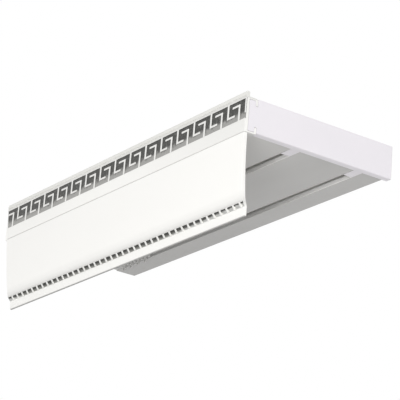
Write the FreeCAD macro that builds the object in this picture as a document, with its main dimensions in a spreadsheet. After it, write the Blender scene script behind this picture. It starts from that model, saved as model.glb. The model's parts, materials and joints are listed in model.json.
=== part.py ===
import FreeCAD, Part
import math
import os
import Sketcher

# Double curtain track for a ceiling: an extruded track with two runner channels, a tall
# ornamented fascia clipped to its front, an end cap and the runners of both rows.
#
# The frame of the part, in millimetres: +X runs along the track towards the capped end, the
# fascia faces -Y, +Z is up. The origin is the middle of the track's ceiling face.

SIZES = [
    ("track_length", 264.0, "length of the extruded track"),
    ("track_depth", 94.0, "front wall to back wall of the track"),
    ("track_height", 18.6, "ceiling face to underside"),
    ("track_wall", 1.6, "outer walls and roof of the track"),
    ("web_wall", 1.2, "inner walls of the track"),
    ("floor_wall", 1.2, "underside of the track below its hollow chambers"),
    ("lip_wall", 2.6, "underside of the track below its channels, and so the lips of the slots"),
    ("row_spacing", 44.6, "centre of the front slot to centre of the rear slot"),
    ("front_row_inset", 32.0, "front wall to centre of the front slot"),
    ("slot_width", 6.0, "opening between the lips of a slot"),
    ("channel_width", 13.0, "inside width of a runner channel"),
    ("screw_spacing", 150.0, "ceiling screw holes along the track"),
    ("screw_hole", 3.5, "diameter of a ceiling screw hole"),
    ("drill_overshoot", 0.8, "how far that hole's cut goes past the track's roof"),
    ("rail_depth", 5.7, "front wall of the track to front of the clip rail"),
    ("rail_drop", 1.1, "clip rail below the underside of the track"),
    ("clip_groove", 1.6, "groove behind the clip rail"),
    ("clip_depth", 3.0, "depth of that groove at its top and at its bottom"),
    ("clip_clearance", 0.2, "hook tip to each side of the groove"),
    ("hook_wall", 1.3, "thickness of the fascia's hooks"),
    ("hook_gap", 0.2, "hook to clip rail, and fascia to clip rail"),
    ("fascia_height", 71.5, "top of the soft lip to bottom of the fascia"),
    ("fascia_rise", 3.0, "soft lip above the ceiling face"),
    ("fascia_wall", 2.2, "thickness of the fascia"),
    ("end_slant", 10.0, "how far the slanted left end of the fascia runs in from ceiling to bottom"),
    ("end_inset", 3.6, "how far the fascia's left end stops short of the track's"),
    ("shoulder_lift", 0.4, "inner edge of the shoulder above its outer one"),
    ("flat_height", 26.0, "flat upper part of the fascia, from its very top"),
    ("bend_height", 33.0, "height over which the gentle curve below falls back by its recess"),
    ("bend_recess", 1.6, "that recess"),
    ("shoulder_height", 3.0, "tighter curve above the dentils"),
    ("shoulder_recess", 0.6, "how far the shoulder falls back"),
    ("shoulder_radius", 15.4, "radius of the shoulder"),
    ("dentil_height", 2.5, "height of the sloping face with the dentils"),
    ("dentil_recess", 1.8, "how far that face falls back"),
    ("bottom_lip_height", 5.6, "height of the fascia's bottom lip"),
    ("bottom_lip_wall", 1.3, "thickness of the fascia's bottom lip"),
    ("bottom_lip_radius", 0.7, "rounding of the bottom lip's front edge"),
    ("band_drop", 3.9, "top of the fascia to top of the meander band"),
    ("band_height", 12.4, "height of the meander band"),
    ("band_recess", 0.5, "depth of the meander band's bed"),
    ("foil_thickness", 0.15, "metallic foil of both ornaments"),
    ("seam_drop", 23.7, "top of the fascia to the seam line"),
    ("seam_width", 0.5, "width of the seam line"),
    ("seam_depth", 0.3, "depth of the seam line"),
    ("bead_drop", 2.4, "top of the soft lip to its fine line"),
    ("bead_width", 0.3, "width of that line"),
    ("lip_radius", 0.6, "rounding of the soft lip's top"),
    ("key_pitch", 16.52, "repeat of the meander"),
    ("key_start", 13.1, "left end of the fascia to the first hanging key"),
    ("key_rail", 0.3, "rail that joins the keys of a row"),
    ("stem_width", 1.4, "upright stroke of a key"),
    ("arm_width", 1.2, "level stroke of a key"),
    ("arm_length", 7.1, "reach of a key's level stroke, stem included"),
    ("key_length", 8.9, "a hanging key from the band's top, foot included"),
    ("standing_key_length", 9.9, "a standing key from the band's bottom, head included"),
    ("standing_key_offset", 4.8, "left side of a hanging key to left end of the next standing key"),
    ("tooth_pitch", 6.12, "repeat of the dentils"),
    ("tooth_start", 13.62, "left end of the fascia to the first dentil"),
    ("tooth_width", 1.4, "width of a dentil"),
    ("tooth_thickness", 0.45, "how far a dentil stands out"),
    ("tooth_rail", 0.35, "rail that joins the dentils"),
    ("cap_plate", 1.4, "end plate of the cap"),
    ("cap_wall", 1.2, "flanges of the cap"),
    ("cap_clearance", 0.1, "cap to track, all round"),
    ("flange_length", 4.5, "how far the cap's flanges reach over the track"),
    ("plug_length", 9.0, "how far the cap's plugs reach into the channels"),
    ("tongue_length", 16.5, "how far the cap's tongues reach into the slots"),
    ("cap_rounding", 0.8, "rounding of the cap's outer edges"),
    ("runner_length", 8.0, "head of a runner, along the track"),
    ("runner_side_gap", 0.75, "head of a runner to each channel wall"),
    ("runner_thickness", 2.2, "thickness of a runner's head"),
    ("running_clearance", 0.1, "runner to lips, and ring to runner"),
    ("neck_length", 5.0, "neck of a runner, along the track"),
    ("neck_side_gap", 0.6, "neck of a runner to each lip of the slot"),
    ("runner_gap", 0.3, "between parked runners, and to the stop"),
    ("runner_rounding", 1.2, "corners of a runner's head"),
    ("pin_radius", 1.2, "swivel pin of a ring"),
    ("pin_clearance", 0.05, "swivel pin to its bore"),
    ("pin_head_radius", 2.1, "head of the swivel pin"),
    ("pin_head_thickness", 0.8, "thickness of that head"),
    ("ring_radius", 1.5, "centre line of a ring"),
    ("ring_wire", 0.5, "radius of a ring's wire"),
    ("stop_inset", 1.0, "open end of the track to a stop"),
    ("stop_length", 10.0, "length of a stop along the track"),
    ("stop_height", 8.0, "height of a stop inside its channel"),
    ("stop_clearance", 0.15, "stop to channel walls and lips"),
    ("stop_screw_radius", 1.5, "clamping screw of a stop"),
    ("thread_clearance", 0.05, "clamping screw to its bore"),
    ("driver_slot_width", 0.6, "driver slot in a clamping screw"),
    ("driver_slot_depth", 0.8, "depth of that driver slot"),
]

RUNNERS_PER_ROW = 4

document = FreeCAD.newDocument("DoubleCurtainTrack")
sheet = document.addObject("Spreadsheet::Sheet", "Sizes")


def formula_of(value):
    return value.formula if isinstance(value, Size) else repr(float(value))


def number_of(value):
    return value.number if isinstance(value, Size) else float(value)


class Size:
    """A length together with the sheet formula that drives it."""

    def __init__(self, formula, number):
        self.formula = formula
        self.number = number

    def __add__(self, other):
        return Size(f"({self.formula} + {formula_of(other)})", self.number + number_of(other))

    def __sub__(self, other):
        return Size(f"({self.formula} - {formula_of(other)})", self.number - number_of(other))

    def __mul__(self, other):
        return Size(f"({self.formula} * {formula_of(other)})", self.number * number_of(other))

    def __truediv__(self, other):
        return Size(f"({self.formula} / {formula_of(other)})", self.number / number_of(other))

    def __neg__(self):
        return Size(f"(-1 * {self.formula})", -self.number)


def fill_sheet():
    for row, (alias, value, meaning) in enumerate(SIZES, start=1):
        sheet.set(f"A{row}", meaning)
        sheet.set(f"B{row}", str(value))
        sheet.setAlias(f"B{row}", alias)
    document.recompute()


fill_sheet()


def size(alias):
    return Size(f"Sizes.{alias}", float(sheet.get(alias)))


def square_root(value):
    return Size(f"sqrt({value.formula})", math.sqrt(value.number))


def arc_radius(rise, recess):
    """Radius of an arc that starts upright and falls back by the recess over the rise."""
    return (rise * rise / recess + recess) / 2


# Fixed zeros of the drawing frames: the ceiling face, the left end of a piece that is drawn from
# that end, the foot of the dentil slope, and the middle of a piece that is drawn about it.
CEILING = 0.0
LEFT_END = 0.0
SLOPE_FOOT = 0.0
MIDDLE = 0.0

# Places that several pieces share, all worked out from the sheet.
HALF_LENGTH = size("track_length") / 2
HALF_DEPTH = size("track_depth") / 2
TRACK_FRONT = -HALF_DEPTH
UNDERSIDE = -size("track_height")
ROOF = -size("track_wall")
FLOOR_TOP = UNDERSIDE + size("floor_wall")
LIP_TOP = UNDERSIDE + size("lip_wall")
RAIL_FRONT = TRACK_FRONT - size("rail_depth")
RAIL_BACK = TRACK_FRONT - size("clip_groove")
RAIL_TOP = -size("hook_wall") - size("hook_gap")
RAIL_BOTTOM = UNDERSIDE - size("rail_drop")
UPPER_GROOVE = RAIL_TOP - size("clip_depth")
LOWER_GROOVE = RAIL_BOTTOM + size("clip_depth")
FASCIA_BACK = RAIL_FRONT - size("hook_gap")
FASCIA_FRONT = FASCIA_BACK - size("fascia_wall")
FASCIA_TOP = size("fascia_rise")
FASCIA_START = size("end_inset") - HALF_LENGTH
FASCIA_LENGTH = size("track_length") + size("cap_clearance") + size("cap_plate") - size("end_inset")
END_SLANT = size("end_slant")
FRONT_ROW = TRACK_FRONT + size("front_row_inset")
REAR_ROW = FRONT_ROW + size("row_spacing")
ROWS = {"front": FRONT_ROW, "rear": REAR_ROW}

# Corners of the fascia's lower profile. The bottom lip, the dentils and the shoulder keep their
# heights from the bottom, the flat part keeps its height from the top, and the gentle curve of one
# radius spans what is left between them, falling back the further the longer it is.
FASCIA_BOTTOM = FASCIA_TOP - size("fascia_height")
DENTIL_END = FASCIA_BOTTOM + size("bottom_lip_height")
SHOULDER_END = DENTIL_END + size("dentil_height")
BEND_END = SHOULDER_END + size("shoulder_height")
BEND_START = FASCIA_TOP - size("flat_height")
BEND_SPAN = BEND_START - BEND_END
BEND_RADIUS = arc_radius(size("bend_height"), size("bend_recess"))
BEND_REACH = square_root(BEND_RADIUS * BEND_RADIUS - BEND_SPAN * BEND_SPAN)
BEND_FRONT = FASCIA_FRONT + BEND_RADIUS - BEND_REACH
SHOULDER_FRONT = BEND_FRONT + size("shoulder_recess")
LIP_FRONT = SHOULDER_FRONT + size("dentil_recess")

# The left end of the fascia is sawn at a slant, on a line through its corner at the ceiling.
DENTIL_START = END_SLANT * DENTIL_END / FASCIA_BOTTOM


def bind(target, prop, value):
    """Tie a property to the sheet, or just set it where it is a bare number."""
    if isinstance(value, Size):
        target.setExpression(prop, value.formula)


def place(target, along=None, across=None, up=None):
    for prop, value in (("x", along), ("y", across), ("z", up)):
        if value is not None:
            bind(target, f".Placement.Base.{prop}", value)


def new_body(name):
    body = document.addObject("PartDesign::Body", name)
    body.Label = name
    return body


def new_sketch(body, role, offset=None):
    plane = [feature for feature in body.Origin.OriginFeatures if feature.Role == role][0]
    sketch = body.newObject("Sketcher::SketchObject", "Sketch")
    sketch.AttachmentSupport = (plane, [""])
    sketch.MapMode = "FlatFace"
    if offset is not None:
        bind(sketch, ".AttachmentOffset.Base.z", offset)
    return sketch


def arc_between(start, end, radius):
    """The short arc between two points, always anticlockwise, as a sketch wants its arcs. A
    positive radius bulges to the left of the way from start to end, a negative one to the right."""
    chord = end.sub(start)
    half = chord.Length / 2
    sagitta = abs(radius) - math.sqrt(radius * radius - half * half)
    side = FreeCAD.Vector(-chord.y, chord.x, 0).normalize()
    middle = start.add(end).multiply(0.5).add(side.multiply(math.copysign(sagitta, radius)))
    if radius > 0:
        return Part.Arc(end, middle, start)
    return Part.Arc(start, middle, end)


def outline(sketch, corners, radii=None):
    """A closed loop through the corners; radii gives the sides that are arcs, by their start."""
    radii = radii or {}
    first = sketch.GeometryCount
    points = [FreeCAD.Vector(number_of(u), number_of(v), 0) for u, v in corners]
    ends = points[1:] + points[:1]
    begins_at = {}
    finishes_at = {}
    for index, (start, end) in enumerate(zip(points, ends)):
        line = first + index
        if index not in radii:
            sketch.addGeometry(Part.LineSegment(start, end))
            begins_at[index], finishes_at[index] = 1, 2
            continue
        radius = number_of(radii[index])
        sketch.addGeometry(arc_between(start, end, radius))
        placed = sketch.Geometry[line]
        forward = placed.StartPoint.distanceToPoint(start) < placed.EndPoint.distanceToPoint(start)
        begins_at[index], finishes_at[index] = (1, 2) if forward else (2, 1)
    count = len(points)
    for index in range(count):
        after = (index + 1) % count
        joint = (first + index, finishes_at[index], first + after, begins_at[after])
        sketch.addConstraint(Sketcher.Constraint("Coincident", *joint))
    for index, (u, v) in enumerate(corners):
        for kind, value in (("DistanceX", u), ("DistanceY", v)):
            anchor = (kind, -1, 1, first + index, begins_at[index], number_of(value))
            rule = sketch.addConstraint(Sketcher.Constraint(*anchor))
            bind(sketch, f"Constraints[{rule}]", value)
    for index, radius in radii.items():
        bend = ("Radius", first + index, abs(number_of(radius)))
        rule = sketch.addConstraint(Sketcher.Constraint(*bend))
        bind(sketch, f"Constraints[{rule}]", radius if number_of(radius) > 0 else -radius)


def rectangle(sketch, low_u, high_u, low_v, high_v):
    outline(sketch, [(low_u, low_v), (high_u, low_v), (high_u, high_v), (low_u, high_v)])


def circle(sketch, u, v, radius):
    centre = FreeCAD.Vector(number_of(u), number_of(v), 0)
    line = sketch.addGeometry(Part.Circle(centre, FreeCAD.Vector(0, 0, 1), number_of(radius)))
    for kind, value in (("DistanceX", u), ("DistanceY", v)):
        rule = sketch.addConstraint(Sketcher.Constraint(kind, -1, 1, line, 3, number_of(value)))
        bind(sketch, f"Constraints[{rule}]", value)
    rule = sketch.addConstraint(Sketcher.Constraint("Radius", line, number_of(radius)))
    bind(sketch, f"Constraints[{rule}]", radius)


def pad(body, sketch, length, backwards=False):
    feature = body.newObject("PartDesign::Pad", "Pad")
    feature.Profile = sketch
    feature.Reversed = backwards
    bind(feature, "Length", length)
    return feature


def cut_through(body, sketch):
    feature = body.newObject("PartDesign::Pocket", "Cut")
    feature.Profile = sketch
    feature.Type = "ThroughAll"
    feature.Midplane = True
    return feature


def cut_down(body, sketch, length):
    feature = body.newObject("PartDesign::Pocket", "Cut")
    feature.Profile = sketch
    bind(feature, "Length", length)
    return feature


def repeat_along(body, feature, count, pitch):
    """Copies of a feature every pitch along the body's X axis."""
    axis = [item for item in body.Origin.OriginFeatures if item.Role == "X_Axis"][0]
    pattern = body.newObject("PartDesign::LinearPattern", "Row")
    pattern.Originals = [feature]
    pattern.Direction = (axis, [""])
    pattern.Occurrences = count
    bind(pattern, "Length", pitch * (count - 1))
    body.Tip = pattern
    return pattern


def round_edges(body, feature, radius, wanted):
    """Fillet the edges of a feature that the wanted test picks."""
    document.recompute()
    edges = enumerate(feature.Shape.Edges, start=1)
    names = [f"Edge{number}" for number, edge in edges if wanted(edge)]
    fillet = body.newObject("PartDesign::Fillet", "Rounding")
    fillet.Base = (feature, names)
    bind(fillet, "Radius", radius)
    body.Tip = fillet
    return fillet


def copies_before(end, first, pitch):
    """How many copies, the first at its own place and the rest a pitch apart, start before the end."""
    return math.floor((number_of(end) - number_of(first)) / number_of(pitch)) + 1


def slant_left_end(body):
    """Saw the left end of a fascia piece along the slant; the wedge sticks out above and below."""
    past = 0.1
    start = -END_SLANT * past
    over = -FASCIA_BOTTOM * past
    under = FASCIA_BOTTOM * (1 + past)
    wedge = new_sketch(body, "XZ_Plane")
    outline(wedge, [(start, over), (start, under), (END_SLANT * (1 + past), under)])
    cut_through(body, wedge)


# Track: one hollow extrusion. Its front carries the clip rail for the fascia, and both runner
# channels open downwards through a slot between two lips.
def channel_outline(sketch, row):
    half_channel = size("channel_width") / 2
    half_slot = size("slot_width") / 2
    below = RAIL_BOTTOM - size("floor_wall")
    corners = [
        (row - half_channel, ROOF),
        (row - half_channel, LIP_TOP),
        (row - half_slot, LIP_TOP),
        (row - half_slot, below),
        (row + half_slot, below),
        (row + half_slot, LIP_TOP),
        (row + half_channel, LIP_TOP),
        (row + half_channel, ROOF),
    ]
    outline(sketch, corners)


def split_chamber(sketch, low, high):
    """Two hollow chambers with one web halfway between them."""
    middle = (low + high) / 2
    half_web = size("web_wall") / 2
    rectangle(sketch, low, middle - half_web, FLOOR_TOP, ROOF)
    rectangle(sketch, middle + half_web, high, FLOOR_TOP, ROOF)


def make_track():
    body = new_body("track_profile")
    outer = new_sketch(body, "YZ_Plane")
    corners = [
        (HALF_DEPTH, UNDERSIDE),
        (HALF_DEPTH, CEILING),
        (TRACK_FRONT, CEILING),
        (TRACK_FRONT, UPPER_GROOVE),
        (RAIL_BACK, UPPER_GROOVE),
        (RAIL_BACK, RAIL_TOP),
        (RAIL_FRONT, RAIL_TOP),
        (RAIL_FRONT, RAIL_BOTTOM),
        (RAIL_BACK, RAIL_BOTTOM),
        (RAIL_BACK, LOWER_GROOVE),
        (TRACK_FRONT, LOWER_GROOVE),
        (TRACK_FRONT, UNDERSIDE),
    ]
    outline(outer, corners)
    pad(body, outer, size("track_length"))
    channels = new_sketch(body, "YZ_Plane")
    for row in ROWS.values():
        channel_outline(channels, row)
    cut_through(body, channels)
    web = size("web_wall")
    wall = size("track_wall")
    reach = size("channel_width") / 2 + web
    chambers = new_sketch(body, "YZ_Plane")
    rectangle(chambers, RAIL_FRONT + web, RAIL_BACK - web, RAIL_BOTTOM + web, RAIL_TOP - web)
    split_chamber(chambers, TRACK_FRONT + wall, FRONT_ROW - reach)
    split_chamber(chambers, FRONT_ROW + reach, REAR_ROW - reach)
    rectangle(chambers, REAR_ROW + reach, HALF_DEPTH - wall, FLOOR_TOP, ROOF)
    cut_through(body, chambers)
    holes = new_sketch(body, "XY_Plane")
    half_spacing = size("screw_spacing") / 2
    for row in ROWS.values():
        for along in (HALF_LENGTH - half_spacing, HALF_LENGTH + half_spacing):
            circle(holes, along, row, size("screw_hole") / 2)
    cut_down(body, holes, size("track_wall") + size("drill_overshoot"))
    place(body, along=-HALF_LENGTH)


# Fascia: a thin extrusion with two hooks on its back. They snap over the clip rail, their tips
# in the grooves behind it. The front has a bed for the meander and a sloping dentil face.
def make_fascia_panel():
    body = new_body("fascia_panel")
    wall = size("fascia_wall")
    tip_back = TRACK_FRONT - size("clip_clearance")
    tip_front = RAIL_BACK + size("clip_clearance")
    hook = size("hook_wall")
    lower_arm = RAIL_BOTTOM - size("hook_gap")
    band_top = FASCIA_TOP - size("band_drop")
    band_bottom = band_top - size("band_height")
    seam_top = FASCIA_TOP - size("seam_drop")
    seam_bottom = seam_top - size("seam_width")
    lip_back = LIP_FRONT + size("bottom_lip_wall")
    rounding = size("bottom_lip_radius")
    corners = [
        (FASCIA_FRONT, CEILING),
        (FASCIA_FRONT, band_top),
        (FASCIA_FRONT + size("band_recess"), band_top),
        (FASCIA_FRONT + size("band_recess"), band_bottom),
        (FASCIA_FRONT, band_bottom),
        (FASCIA_FRONT, seam_top),
        (FASCIA_FRONT + size("seam_depth"), seam_top),
        (FASCIA_FRONT + size("seam_depth"), seam_bottom),
        (FASCIA_FRONT, seam_bottom),
        (FASCIA_FRONT, BEND_START),
        (BEND_FRONT, BEND_END),
        (SHOULDER_FRONT, SHOULDER_END),
        (LIP_FRONT, DENTIL_END),
        (LIP_FRONT, FASCIA_BOTTOM + rounding),
        (LIP_FRONT + rounding, FASCIA_BOTTOM),
        (lip_back, FASCIA_BOTTOM),
        (lip_back, DENTIL_END),
        (SHOULDER_FRONT + wall, SHOULDER_END + size("shoulder_lift")),
        (BEND_FRONT + wall, BEND_END),
        (FASCIA_BACK, BEND_START),
        (FASCIA_BACK, lower_arm - hook),
        (tip_back - hook, lower_arm - hook),
        (tip_back, lower_arm),
        (tip_back, LOWER_GROOVE - size("hook_gap")),
        (tip_front, LOWER_GROOVE - size("hook_gap")),
        (tip_front, lower_arm),
        (FASCIA_BACK, lower_arm),
        (FASCIA_BACK, -hook),
        (tip_front, -hook),
        (tip_front, UPPER_GROOVE + size("hook_gap")),
        (tip_back, UPPER_GROOVE + size("hook_gap")),
        (tip_back, -hook),
        (tip_back - hook, CEILING),
    ]
    radii = {
        9: -BEND_RADIUS,
        10: -size("shoulder_radius"),
        13: -rounding,
        17: size("shoulder_radius") - wall,
        18: BEND_RADIUS - wall,
        21: -hook,
        31: -hook,
    }
    profile = new_sketch(body, "YZ_Plane")
    outline(profile, corners, radii)
    pad(body, profile, FASCIA_LENGTH)
    slant_left_end(body)
    place(body, along=FASCIA_START)


def make_fascia_top_lip():
    """The soft lip along the fascia's top edge, which closes the gap to the ceiling."""
    body = new_body("fascia_top_lip")
    line_top = FASCIA_TOP - size("bead_drop")
    line_bottom = line_top - size("bead_width")
    line_depth = FASCIA_FRONT + size("bead_width")
    rounding = size("lip_radius")
    corners = [
        (FASCIA_FRONT, FASCIA_TOP - rounding),
        (FASCIA_FRONT, line_top),
        (line_depth, line_top),
        (line_depth, line_bottom),
        (FASCIA_FRONT, line_bottom),
        (FASCIA_FRONT, CEILING),
        (FASCIA_BACK, CEILING),
        (FASCIA_BACK, FASCIA_TOP - rounding),
        (FASCIA_BACK - rounding, FASCIA_TOP),
        (FASCIA_FRONT + rounding, FASCIA_TOP),
    ]
    profile = new_sketch(body, "YZ_Plane")
    outline(profile, corners, {7: -rounding, 9: -rounding})
    pad(body, profile, FASCIA_LENGTH)
    place(body, along=FASCIA_START)


# Meander: a metallic foil lies in the band's bed. On it stand the white keys, each row of keys
# joined by a thin rail, so that the foil shows between them as one unbroken winding line.
def make_meander_foil():
    body = new_body("meander_foil")
    band = new_sketch(body, "XZ_Plane")
    band_top = FASCIA_TOP - size("band_drop")
    rectangle(band, LEFT_END, FASCIA_LENGTH, band_top - size("band_height"), band_top)
    pad(body, band, size("foil_thickness"))
    slant_left_end(body)
    place(body, along=FASCIA_START, across=FASCIA_FRONT + size("band_recess"))


def trim_ends(body, role, pitch, low, high):
    """Cut a row of ornaments off flush with both ends of the fascia; none reaches past by a pitch."""
    ends = new_sketch(body, role)
    rectangle(ends, -pitch, LEFT_END, low, high)
    rectangle(ends, FASCIA_LENGTH, FASCIA_LENGTH + pitch, low, high)
    cut_through(body, ends)


def make_keys(name, corners, stem, rail_low, rail_high):
    """A row of keys on their rail, from the outline of the first one and the start of its stem. A
    key whose stem would lie past the fascia's right end is left out, so none is without a rail."""
    body = new_body(name)
    pitch = size("key_pitch")
    thickness = size("band_recess") - size("foil_thickness")
    rail = new_sketch(body, "XZ_Plane")
    rectangle(rail, LEFT_END, FASCIA_LENGTH, rail_low, rail_high)
    pad(body, rail, thickness)
    key = new_sketch(body, "XZ_Plane")
    outline(key, corners)
    first_key = pad(body, key, thickness)
    repeat_along(body, first_key, copies_before(FASCIA_LENGTH, stem, pitch), pitch)
    above = rail_high + size("band_height")
    below = rail_low - size("band_height")
    trim_ends(body, "XZ_Plane", pitch, below, above)
    slant_left_end(body)
    foil_face = FASCIA_FRONT + size("band_recess") - size("foil_thickness")
    place(body, along=FASCIA_START, across=foil_face)


def make_upper_keys():
    """Keys like an L that hang from the top of the band."""
    top = FASCIA_TOP - size("band_drop")
    bottom = top - size("key_length")
    left = size("key_start")
    stem_end = left + size("stem_width")
    right = left + size("arm_length")
    corners = [
        (left, top),
        (left, bottom),
        (right, bottom),
        (right, bottom + size("arm_width")),
        (stem_end, bottom + size("arm_width")),
        (stem_end, top),
    ]
    make_keys("meander_upper_keys", corners, left, top - size("key_rail"), top)


def make_lower_keys():
    """Keys like a 7 that stand on the bottom of the band, each with its arm over a foot."""
    bottom = FASCIA_TOP - size("band_drop") - size("band_height")
    top = bottom + size("standing_key_length")
    left = size("key_start") - size("key_pitch") + size("standing_key_offset")
    right = left + size("arm_length")
    stem = right - size("stem_width")
    corners = [
        (right, bottom),
        (right, top),
        (left, top),
        (left, top - size("arm_width")),
        (stem, top - size("arm_width")),
        (stem, bottom),
    ]
    make_keys("meander_lower_keys", corners, stem, bottom, bottom + size("key_rail"))


# Dentils: foil and teeth lie on the sloping face. Their own frame has X along the fascia, Y up
# the slope and Z out of it, with its origin at the slope's lower edge.
def slope_length():
    rise = size("dentil_height")
    back = size("dentil_recess")
    run = math.hypot(rise.number, back.number)
    return Size(f"sqrt({rise.formula} ^ 2 + {back.formula} ^ 2)", run)


def lay_on_slope(body, stand_off):
    """Turn a piece onto the dentil face, its back the given distance out of that face."""
    rise = size("dentil_height")
    back = size("dentil_recess")
    length = slope_length()
    tilt = 180 - math.degrees(math.atan2(rise.number, back.number))
    body.Placement.Rotation = FreeCAD.Rotation(FreeCAD.Vector(1, 0, 0), tilt)
    angle = f"180 deg - atan({rise.formula} / {back.formula})"
    body.setExpression(".Placement.Rotation.Angle", angle)
    across = LIP_FRONT - rise * stand_off / length
    up = DENTIL_END - back * stand_off / length
    place(body, along=FASCIA_START, across=across, up=up)


def make_dentil_foil():
    body = new_body("dentil_foil")
    face = new_sketch(body, "XY_Plane")
    rectangle(face, DENTIL_START, FASCIA_LENGTH, SLOPE_FOOT, slope_length())
    pad(body, face, size("foil_thickness"))
    lay_on_slope(body, 0.0)


def make_dentil_teeth():
    body = new_body("dentil_teeth")
    pitch = size("tooth_pitch")
    thickness = size("tooth_thickness")
    length = slope_length()
    rail = new_sketch(body, "XY_Plane")
    rectangle(rail, DENTIL_START, FASCIA_LENGTH, length - size("tooth_rail"), length)
    pad(body, rail, thickness)
    left = size("tooth_start")
    tooth = new_sketch(body, "XY_Plane")
    rectangle(tooth, left, left + size("tooth_width"), SLOPE_FOOT, length)
    first_tooth = pad(body, tooth, thickness)
    repeat_along(body, first_tooth, copies_before(FASCIA_LENGTH, left, pitch), pitch)
    trim_ends(body, "XY_Plane", pitch, -length, length * 2)
    lay_on_slope(body, size("foil_thickness"))


# End cap: a plate with a bottom and a back flange over the track, a plug in each channel and a
# tongue in each slot. A tab in front covers the clip rail between the fascia's hooks.
def make_end_cap():
    body = new_body("end_cap")
    gap = size("cap_clearance")
    bottom = UNDERSIDE - gap - size("cap_wall")
    back = HALF_DEPTH + gap + size("cap_wall")
    corners = [
        (back, bottom),
        (back, CEILING),
        (TRACK_FRONT, CEILING),
        (TRACK_FRONT, UPPER_GROOVE),
        (RAIL_BACK, UPPER_GROOVE),
        (RAIL_BACK, RAIL_TOP),
        (RAIL_FRONT, RAIL_TOP),
        (RAIL_FRONT, RAIL_BOTTOM),
        (RAIL_BACK, RAIL_BOTTOM),
        (RAIL_BACK, LOWER_GROOVE),
        (TRACK_FRONT, LOWER_GROOVE),
        (TRACK_FRONT, bottom),
    ]
    plate = new_sketch(body, "YZ_Plane", gap)
    outline(plate, corners)
    pad(body, plate, size("cap_plate"))
    outer_face = gap + size("cap_plate")
    flanges = new_sketch(body, "YZ_Plane", outer_face)
    flange_corners = [
        (TRACK_FRONT, bottom),
        (back, bottom),
        (back, CEILING),
        (HALF_DEPTH + gap, CEILING),
        (HALF_DEPTH + gap, UNDERSIDE - gap),
        (TRACK_FRONT, UNDERSIDE - gap),
    ]
    outline(flanges, flange_corners)
    pad(body, flanges, size("flange_length"), backwards=True)
    plugs = new_sketch(body, "YZ_Plane", outer_face)
    tongues = new_sketch(body, "YZ_Plane", outer_face)
    for row in ROWS.values():
        half_plug = size("channel_width") / 2 - gap
        half_tongue = size("slot_width") / 2 - gap
        rectangle(plugs, row - half_plug, row + half_plug, LIP_TOP + gap, ROOF - gap)
        rectangle(tongues, row - half_tongue, row + half_tongue, UNDERSIDE - gap, LIP_TOP + gap * 2)
    pad(body, plugs, size("plug_length"), backwards=True)
    solid = pad(body, tongues, size("tongue_length"), backwards=True)
    outer = number_of(outer_face)
    low = number_of(bottom)
    far = number_of(back)

    def wanted(edge):
        box = edge.BoundBox
        on_face = abs(box.XMin - outer) < 1e-4 and abs(box.XMax - outer) < 1e-4
        on_bottom = abs(box.ZMax - low) < 1e-4
        on_back = abs(box.YMin - far) < 1e-4
        return on_face and (on_bottom or on_back)

    round_edges(body, solid, size("cap_rounding"), wanted)
    place(body, along=HALF_LENGTH)


# Stops: a block in the open end of each channel, held by a clamping screw that is turned from
# below and bears on the channel's roof.
STOP_BOTTOM = UNDERSIDE + size("stop_clearance")
STOP_LEFT = -HALF_LENGTH + size("stop_inset")
STOP_CENTRE = STOP_LEFT + size("stop_length") / 2


def make_stop(name, row):
    body = new_body(name)
    gap = size("stop_clearance")
    half_block = size("channel_width") / 2 - gap
    half_neck = size("slot_width") / 2 - gap
    floor = LIP_TOP + gap
    top = floor + size("stop_height")
    corners = [
        (-half_neck, STOP_BOTTOM),
        (half_neck, STOP_BOTTOM),
        (half_neck, floor),
        (half_block, floor),
        (half_block, top),
        (-half_block, top),
        (-half_block, floor),
        (-half_neck, floor),
    ]
    profile = new_sketch(body, "YZ_Plane")
    outline(profile, corners)
    pad(body, profile, size("stop_length"))
    bore = new_sketch(body, "XY_Plane")
    bore_radius = size("stop_screw_radius") + size("thread_clearance")
    circle(bore, size("stop_length") / 2, MIDDLE, bore_radius)
    cut_through(body, bore)
    place(body, along=STOP_LEFT, across=row)


def make_stop_screw(name, row):
    shank = document.addObject("Part::Cylinder", f"{name}_shank")
    shank_length = ROOF - size("running_clearance") - STOP_BOTTOM
    bind(shank, "Radius", size("stop_screw_radius"))
    bind(shank, "Height", shank_length)
    place(shank, along=STOP_CENTRE, across=row, up=STOP_BOTTOM)
    slot = document.addObject("Part::Box", f"{name}_driver_slot")
    bind(slot, "Length", size("stop_screw_radius") * 2)
    bind(slot, "Width", size("driver_slot_width"))
    bind(slot, "Height", size("driver_slot_depth"))
    slot_left = STOP_CENTRE - size("stop_screw_radius")
    slot_front = row - size("driver_slot_width") / 2
    place(slot, along=slot_left, across=slot_front, up=STOP_BOTTOM)
    screw = document.addObject("Part::Cut", name)
    screw.Label = name
    screw.Base = shank
    screw.Tool = slot


# Runners: a flat head that glides on the lips of the slot, and a neck through the slot. A ring
# for the curtain hook swivels in the runner's bore on a headed pin.
HEAD_BOTTOM = LIP_TOP + size("running_clearance")
HEAD_TOP = HEAD_BOTTOM + size("runner_thickness")
NECK_BOTTOM = UNDERSIDE - size("running_clearance")
RUNNER_PITCH = size("runner_length") + size("runner_gap")
FIRST_RUNNER = (
    STOP_LEFT + size("stop_length") + size("runner_gap") + size("runner_length") / 2
)


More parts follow.
